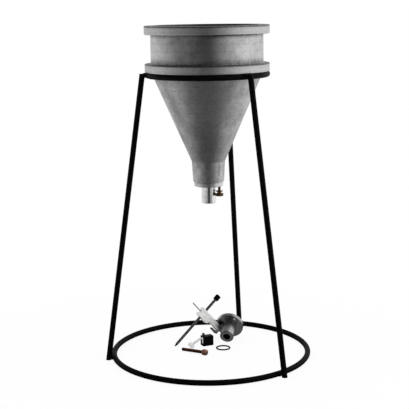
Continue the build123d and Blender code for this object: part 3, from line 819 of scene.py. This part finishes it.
class FLOWCONE_OT_stand(bpy.types.Operator):
    """Paint the stand and lay its rippled weld beads"""

    bl_idname = "flow_cone.stand"
    bl_label = "Stand"

    def execute(self, context):
        look = context.scene.flow_cone_stand
        paint = black_paint(look)
        dress(paint, "top_ring", "base_ring", "leg_rear", "leg_left", "leg_right")
        rings = {}
        for node in ("top_ring", "base_ring"):
            low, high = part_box(node)
            rings[node] = (high.x - (high.z - low.z) / 2, (high.z + low.z) / 2, (high.z - low.z) / 2)
        top_radius, top_height, bar = rings["top_ring"]
        base_radius, base_height, bar = rings["base_ring"]
        slope = Vector((base_radius - top_radius, top_height - base_height)).normalized()
        for node, azimuths in (("top_ring", look.tops), ("base_ring", look.feet)):
            radius, height, bar = rings[node]
            beads = node.replace("ring", "weld_beads")
            bm = bmesh.new()
            for azimuth in azimuths:
                outwards = level_way(azimuth)
                climb = up * slope.y - outwards * slope.x
                touch = outwards * (radius + bar * slope.y) + up * (height + bar * slope.x)
                along = up.cross(outwards) * look.bead_reach
                for side in (along, -along):
                    self.lay_bead(bm, look, touch + side, climb)
            new_piece(f"{beads}_rippled", bm, paint, "stand", "stand_paint", beads)
        return {"FINISHED"}

    def lay_bead(self, bm, look, middle, climb):
        """One bead with ripples across its length."""
        steps = 6 * look.bead_ripples
        rows = []
        for step in range(1, steps):
            turn = pi * step / steps
            ripple = look.bead_ripple * (0.5 - 0.5 * cos(tau * step / 6))
            radius = (look.bead_radius - ripple) * sin(turn)
            rows.append((radius, -look.bead_radius * cos(turn), None))
        add_turned(bm, axis_frame(middle, climb), rows, 28)


class FLOWCONE_OT_cone(bpy.types.Operator):
    """Finish the cast cone"""

    bl_idname = "flow_cone.cone"
    bl_label = "Cone"

    def execute(self, context):
        dress(casting_skin(context.scene.flow_cone_casting), "cone_casting")
        return {"FINISHED"}


class FLOWCONE_OT_nozzle(bpy.types.Operator):
    """Finish the nozzle under the cone and the seals"""

    bl_idname = "flow_cone.nozzle"
    bl_label = "Nozzle and seals"

    def execute(self, context):
        look = context.scene.flow_cone_nozzle
        seat = (0, 0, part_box("nozzle_flange")[1].z)
        stain = scaled(look.flange_colour, 0.7)
        flange = turned_metal(
            "nozzle_steel", seat, up, look.flange_colour, stain, 0.34, look.turning_pitch, 0.00005
        )
        dull = scaled(look.tube_colour, 0.9)
        tube = turned_metal(
            "tube_steel", seat, up, look.tube_colour, dull, 0.12, look.turning_pitch, 0.00001
        )
        dress(flange, "nozzle_flange")
        dress(tube, "discharge_tube")
        dress(seal_rubber(look), "nozzle_seal_ring", "spare_seal_ring")
        return {"FINISHED"}


class FLOWCONE_OT_thumb_screws(bpy.types.Operator):
    """Cut the threads and knurls of both thumb screws"""

    bl_idname = "flow_cone.thumb_screws"
    bl_label = "Thumb screws"

    def execute(self, context):
        look = context.scene.flow_cone_screws
        brass = tarnished_metal("screw_brass", look.brass_colour, look.tarnish_colour, 0.28, 0.36, 0.62)
        axis = Vector(look.loose_axis).normalized()
        foot = Vector(look.loose_tip) + axis * look.loose_shank
        copper = tarnished_metal(
            "screw_copper", look.copper_colour, look.copper_dark, 0.34, 0.36, 0.66, foot, axis
        )
        self.cut_fitted(look, brass)
        self.cut_loose(look, copper)
        washer = softened("thumb_screw_washer", 0.0002)
        new_piece("thumb_screw_washer_eased", washer, brass, "washer", "screw_brass", "thumb_screw_washer")
        return {"FINISHED"}

    def cut_fitted(self, look, brass):
        """The screw under the nozzle flange, head down."""
        ridges = knurl(look.knurls, look.knurl_depth)
        ease = look.knurl_depth
        rim = look.head_radius
        top = look.head_height
        neck_top = top + look.neck_height
        bm = bmesh.new()
        placing = axis_frame(look.screw_place, up)
        head = [
            (rim * 0.55, ease * 0.8, None),
            (rim * 0.6, 0, None),
            (rim - 2 * ease, 0, None),
            (rim - ease, 0.3 * ease, None),
            (rim, ease, ridges),
            (rim, top - ease, ridges),
            (rim - ease, top - 0.3 * ease, None),
            (rim - 2 * ease, top, None),
            (look.neck_radius + ease, top, None),
            (look.neck_radius, top + ease, None),
            (look.neck_radius, neck_top - 0.4 * ease, None),
            (look.neck_radius - 0.4 * ease, neck_top, None),
        ]
        add_turned(bm, placing, head, 5 * look.knurls)
        shank = thread_rows(
            neck_top - ease, look.screw_length, look.thread_radius, look.thread_pitch,
            look.thread_depth, look.tip_chamfer,
        )
        add_turned(bm, placing, shank, 24)
        new_piece("thumb_screw_threaded", bm, brass, "thumb_screw", "screw_brass", "thumb_screw")

    def cut_loose(self, look, copper):
        """The screw that lies on the floor."""
        ridges = knurl(look.knurls, look.knurl_depth)
        ease = look.knurl_depth
        rim = look.loose_head_radius
        under = look.loose_shank
        top = under + look.loose_head_height
        dome = look.loose_head_dome
        bm = bmesh.new()
        placing = axis_frame(look.loose_tip, look.loose_axis)
        head = [
            (look.loose_radius, under, None),
            (rim - ease, under, None),
            (rim, under + ease, ridges),
            (rim, top - dome, ridges),
        ]
        for step in range(1, 6):
            turn = pi / 2 * step / 6
            head.append((rim - dome * (1 - cos(turn)), top - dome * (1 - sin(turn)), None))
        head.append((rim - dome, top, None))
        add_turned(bm, placing, head, 5 * look.knurls)
        shank = thread_rows(
            under + ease, 0, look.loose_radius, look.loose_pitch, look.thread_depth, look.tip_chamfer
        )
        add_turned(bm, placing, shank, 24)
        new_piece(
            "spare_thumb_screw_threaded", bm, copper, "spare_screw", "screw_copper", "spare_thumb_screw"
        )


class FLOWCONE_OT_spare_nozzle(bpy.types.Operator):
    """Finish the spare nozzle"""

    bl_idname = "flow_cone.spare_nozzle"
    bl_label = "Spare nozzle"

    def execute(self, context):
        look = context.scene.flow_cone_nozzle
        stain = scaled(look.spare_colour, 0.6)
        flange = turned_metal(
            "spare_flange_steel", look.spare_seat, look.spare_axis, look.spare_colour, stain, 0.18,
            look.turning_pitch, 0.00003, rim=look.flange_radius, arm_shadow=look.arm_shadow,
        )
        dull = scaled(look.spout_colour, 0.6)
        spout = turned_metal(
            "spare_tube_steel", look.spare_seat, look.spare_axis, look.spout_colour, dull, 0.24,
            look.turning_pitch, 0.00003, bore=look.spare_bore,
        )
        dress(flange, "spare_nozzle_flange")
        dress(spout, "spare_discharge_tube")
        return {"FINISHED"}


class FLOWCONE_OT_gauge(bpy.types.Operator):
    """Finish the point gauge"""

    bl_idname = "flow_cone.gauge"
    bl_label = "Point gauge"

    def execute(self, context):
        look = context.scene.flow_cone_gauge
        rod_stain = scaled(look.rod_colour, 0.6)
        rod = turned_metal(
            "rod_steel", look.tip, look.rod_axis, look.rod_colour, rod_stain, 0.3, 0.0004, 0.00002
        )
        pin_stain = scaled(look.pin_colour, 0.6)
        pin = turned_metal(
            "pin_steel", look.tip, look.rod_axis, look.pin_colour, pin_stain, 0.3, 0.0005, 0.00004
        )
        dress(rod, "gauge_rod")
        dress(pin, "gauge_lock_screw")
        pale = pale_aluminium(look)
        bracket = softened("gauge_bracket", look.edge_radius)
        new_piece("gauge_bracket_eased", bracket, pale, "gauge", "gauge_aluminium", "gauge_bracket")
        dress(moulded_black("knob_black", look.knob_colour, 0.0003, 0.4), "gauge_knob")
        return {"FINISHED"}


class FLOWCONE_OT_clamp(bpy.types.Operator):
    """Finish the clamp block and cut the wing screw"""

    bl_idname = "flow_cone.clamp"
    bl_label = "Clamp block and wing screw"

    def execute(self, context):
        look = context.scene.flow_cone_clamp
        nylon = white_nylon(look)
        dress(moulded_black("block_black", look.block_colour, 0.0005, 0.42), "clamp_block")
        dress(moulded_black("stud_black", look.stud_colour, 0.0003, 0.36), "clamp_stud")
        pad = softened("clamp_pad", 0.0003)
        new_piece("clamp_pad_eased", pad, nylon, "clamp", "nylon_white", "clamp_pad")
        placing = axis_frame(look.wing_end, look.wing_axis, look.wing_side)
        bm = bmesh.new()
        ease = 0.0005
        hub = [
            (look.hub_radius - ease, look.hub_start, None),
            (look.hub_radius, look.hub_start + ease, None),
            (look.hub_radius, look.shank_start - ease, None),
            (look.hub_radius - ease, look.shank_start, None),
        ]
        add_turned(bm, placing, hub, 40)
        shank = thread_rows(
            look.shank_start - ease, look.full_length, look.thread_radius, look.thread_pitch,
            look.thread_depth, ease,
        )
        add_turned(bm, placing, shank, 24)
        reach = look.wing_span / 2
        parting = 0.02 * look.wing_thickness
        corner = look.wing_thickness
        for low, high in ((-reach, -parting), (parting, reach)):
            wing = rounded_outline(low, high, 0, look.wing_length, corner)
            add_plate(bm, placing, wing, look.wing_thickness, 0.4 * look.wing_thickness)
        new_piece("wing_screw_threaded", bm, nylon, "wing", "nylon_white", "wing_screw")
        return {"FINISHED"}


class FLOWCONE_OT_stage(bpy.types.Operator):
    """Set up the camera, the floor and the studio light"""

    bl_idname = "flow_cone.stage"
    bl_label = "Stage"

    def execute(self, context):
        look = context.scene.flow_cone_stage
        context.scene.view_settings.view_transform = "Standard"
        self.set_camera(context, look)
        self.lay_floor(context, look)
        self.light_studio(context, look)
        return {"FINISHED"}

    def set_camera(self, context, look):
        """The camera of the reference view."""
        ahead = Vector((0, cos(look.camera_pitch), -sin(look.camera_pitch)))
        level = Vector((1, 0, 0))
        above = level.cross(ahead)
        across = level * cos(look.camera_roll) - above * sin(look.camera_roll)
        turn = Matrix((across, across.cross(ahead), -ahead)).transposed().to_4x4()
        camera = bpy.data.objects.new("Camera", bpy.data.cameras.new("Camera"))
        camera.matrix_world = Matrix.Translation(Vector(look.camera_place)) @ turn
        camera.data.sensor_width = 36
        camera.data.lens = look.lens
        context.scene.collection.objects.link(camera)
        context.scene.camera = camera

    def lay_floor(self, context, look):
        """A pale floor that is white to the camera and keeps the object's shadow."""
        material, sheet = new_finish("pale_floor")
        where = sheet.position()
        reach = sheet.radius(where)
        near = 1 - sheet.rise(reach, 0.3, 0.7)
        outwards = sheet.bearing(where)
        facing = sheet.dot(outwards, level_way(camera_side + look.floor_azimuth))
        broad = sheet.rise(facing, cos(look.floor_outer), cos(look.floor_inner))
        along_strip = sheet.dot(outwards, level_way(camera_side + look.strip_azimuth))
        strip = sheet.rise(along_strip, cos(look.strip_outer), cos(look.strip_inner))
        far = sheet.rise(reach, 1.25, 1.5) * 0.5
        # Painted reflection: mirrored rays see the floor glow darker near the object, towards the camera
        # and in a far strip.
        shade = 0.13 + 0.52 * sheet.rise(reach, 0.22, 0.5) + 0.12 * sheet.rise(reach, 0.45, 0.9)
        shade = shade + 0.26 * sheet.rise(reach, 0.9, 1.6)
        aside = sheet.dot(outwards, (1, 0, 0))
        shade = shade * (1 - (1 - sheet.rise(facing, -0.6, 0.5)) * (0.17 - 0.12 * aside))
        tone = shade * (1 - (1 - look.dark_tone) * broad * (1 - far) - strip * far)
        to_camera = sheet.ray("Camera")
        seen = to_camera | sheet.ray("Glossy") | sheet.ray("Transmission")
        glow = sheet.node(
            "ShaderNodeEmission", sockets={"Strength": to_camera + (1 - to_camera) * tone}
        )
        matt = sheet.node("ShaderNodeBsdfDiffuse", sockets={"Color": as_colour(look.floor_colour)})
        mixed = sheet.node(
            "ShaderNodeMixShader", sockets={0: seen * (1 - look.shadow_share * near), 1: matt, 2: glow}
        )
        sheet.node("ShaderNodeOutputMaterial", sockets={"Surface": mixed})
        bm = bmesh.new()
        bmesh.ops.create_grid(bm, x_segments=8, y_segments=8, size=look.floor_size)
        mesh = bpy.data.meshes.new("floor")
        bm.to_mesh(mesh)
        bm.free()
        mesh.materials.append(material)
        floor = bpy.data.objects.new("floor", mesh)
        floor.location.z = -look.floor_drop
        context.scene.collection.objects.link(floor)

    def light_studio(self, context, look):
        """Soft light all round with a darker side, and one large lamp."""
        world = bpy.data.worlds.new("studio")
        world.use_nodes = True
        context.scene.world = world
        sheet = NodeSheet(world.node_tree)
        way = sheet.node("ShaderNodeTexCoord", output="Generated")
        facing = sheet.dot(way, level_way(camera_side + look.dark_azimuth))
        dark = sheet.rise(facing, cos(look.dark_outer), cos(look.dark_inner))
        overhead = sheet.rise(sheet.height(way), sin(radians(6)), sin(radians(35)))
        aside = sheet.dot(way, (1, 0, 0))
        tone = (1 - (1 - look.dark_tone) * dark) * (1 - (1 - look.ceiling_tone) * overhead)
        tone = tone * (0.86 + 0.14 * aside) + 0.6 * overhead * sheet.rise(aside, 0.15, 0.6)
        to_camera = sheet.ray("Camera")
        mirrored = sheet.ray("Glossy") | sheet.ray("Transmission")
        soft = mirrored * tone + (1 - mirrored) * look.ambient
        strength = to_camera + (1 - to_camera) * soft
        glow = sheet.node("ShaderNodeBackground", sockets={"Color": (1, 1, 1, 1), "Strength": strength})
        sheet.node("ShaderNodeOutputWorld", sockets={"Surface": glow})
        lamp = bpy.data.lights.new("key", "AREA")
        lamp.shape = "RECTANGLE"
        lamp.size = look.key_size
        lamp.size_y = look.key_size
        lamp.energy = look.key_power
        key = bpy.data.objects.new("key", lamp)
        key.location = look.key_place
        key.rotation_mode = "QUATERNION"
        key.rotation_quaternion = (Vector(look.key_target) - key.location).to_track_quat("-Z", "Y")
        key.visible_glossy = False
        context.scene.collection.objects.link(key)


operators = (
    FLOWCONE_OT_stand,
    FLOWCONE_OT_cone,
    FLOWCONE_OT_nozzle,
    FLOWCONE_OT_thumb_screws,
    FLOWCONE_OT_spare_nozzle,
    FLOWCONE_OT_gauge,
    FLOWCONE_OT_clamp,
    FLOWCONE_OT_stage,
)

looks = {
    "flow_cone_stand": StandLook,
    "flow_cone_casting": CastingLook,
    "flow_cone_nozzle": NozzleLook,
    "flow_cone_screws": ScrewLook,
    "flow_cone_gauge": GaugeLook,
    "flow_cone_clamp": ClampLook,
    "flow_cone_stage": StageLook,
}


class FLOWCONE_PT_pieces(bpy.types.Panel):
    """Lists the pieces of the flow cone"""

    bl_idname = "FLOWCONE_PT_pieces"
    bl_label = "Grout flow cone"
    bl_space_type = "VIEW_3D"
    bl_region_type = "UI"
    bl_category = "Flow cone"

    def draw(self, context):
        for operator in operators:
            self.layout.operator(operator.bl_idname)


def register():
    for group in looks.values():
        bpy.utils.register_class(group)
    for name, group in looks.items():
        setattr(bpy.types.Scene, name, PointerProperty(type=group))
    for operator in operators:
        bpy.utils.register_class(operator)
    bpy.utils.register_class(FLOWCONE_PT_pieces)


def unregister():
    bpy.utils.unregister_class(FLOWCONE_PT_pieces)
    for operator in reversed(operators):
        bpy.utils.unregister_class(operator)
    for name in looks:
        delattr(bpy.types.Scene, name)
    for group in looks.values():
        bpy.utils.unregister_class(group)


def main():
    register()
    bpy.ops.flow_cone.stand()
    bpy.ops.flow_cone.cone()
    bpy.ops.flow_cone.nozzle()
    bpy.ops.flow_cone.thumb_screws()
    bpy.ops.flow_cone.spare_nozzle()
    bpy.ops.flow_cone.gauge()
    bpy.ops.flow_cone.clamp()
    bpy.ops.flow_cone.stage()


if __name__ == "__main__":
    main()
